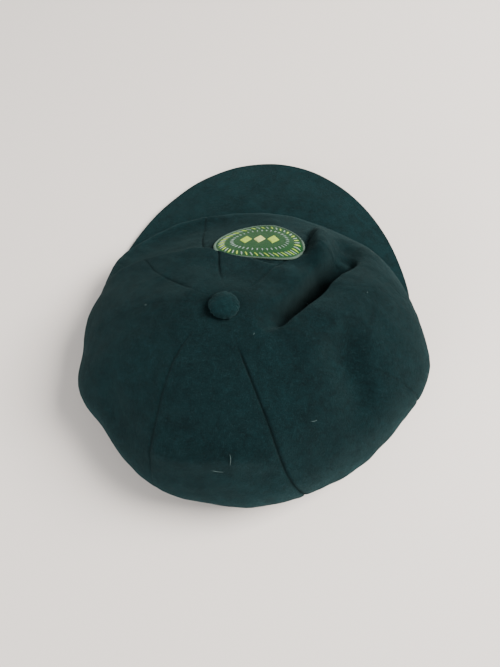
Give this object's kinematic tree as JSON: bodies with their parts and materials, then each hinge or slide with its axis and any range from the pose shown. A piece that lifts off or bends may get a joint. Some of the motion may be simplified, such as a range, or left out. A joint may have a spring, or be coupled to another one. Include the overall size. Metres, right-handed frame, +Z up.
{
  "type": "baggy panelled wool cap",
  "caption": "Soft baggy panelled wool cap with a covered button, a round woven badge and a stiff curved peak, lying slumped on a flat surface.",
  "frame": {"origin": "middle of the whole cap's footprint, on the surface the cap lies on", "axes": "+Y to the front, along the peak; +Z up through the crown; +X to the wearer's right"},
  "size_m": [0.2279, 0.2816, 0.0784],
  "materials": {
    "wool": "brushed wool melton, matt with a fine nap",
    "under_peak_wool": "brushed wool melton, matt",
    "lining": "plain cotton lining",
    "sweatband_braid": "ribbed cotton braid",
    "buckram": "stiffened cotton",
    "white_tape": "woven tape",
    "steel": "plain pressed steel",
    "peak_board": "stiff peak board",
    "badge_field": "embroidered thread",
    "badge_silver": "embroidered thread",
    "badge_lime": "embroidered thread",
    "badge_cream": "embroidered thread"
  },
  "bodies": {
    "crown": {"crown_panel_front": "wool", "crown_panel_front_right": "wool", "crown_panel_right": "wool", "crown_panel_back_right": "wool", "crown_panel_back": "wool", "crown_panel_back_left": "wool", "crown_panel_left": "wool", "crown_panel_front_left": "wool", "lining_panel_front": "lining", "lining_panel_front_right": "lining", "lining_panel_right": "lining", "lining_panel_back_right": "lining", "lining_panel_back": "lining", "lining_panel_back_left": "lining", "lining_panel_left": "lining", "lining_panel_front_left": "lining", "button_cover": "wool", "button_shell": "steel", "button_back_plate": "steel", "button_washer": "steel", "sweatband": "sweatband_braid", "headband_stay": "buckram", "back_elastic": "white_tape", "hem_band": "wool", "size_label": "white_tape", "badge_base": "badge_field", "badge_border": "badge_silver", "badge_ring": "badge_silver", "badge_diamond_left": "badge_lime", "badge_diamond_middle": "badge_cream", "badge_diamond_right": "badge_lime"},
    "peak": {"peak_top_cover": "wool", "peak_board": "peak_board", "peak_under_cover": "under_peak_wool"}
  },
  "joints": [
    {"name": "peak_flex", "type": "hinge", "parent": "crown", "child": "peak", "pos_m": [-0.001, 0.0498, 0.009], "axis": [1, 0, 0], "range_deg": [-4, 8], "stiffness_Nm_per_rad": 0.6}
  ]
}
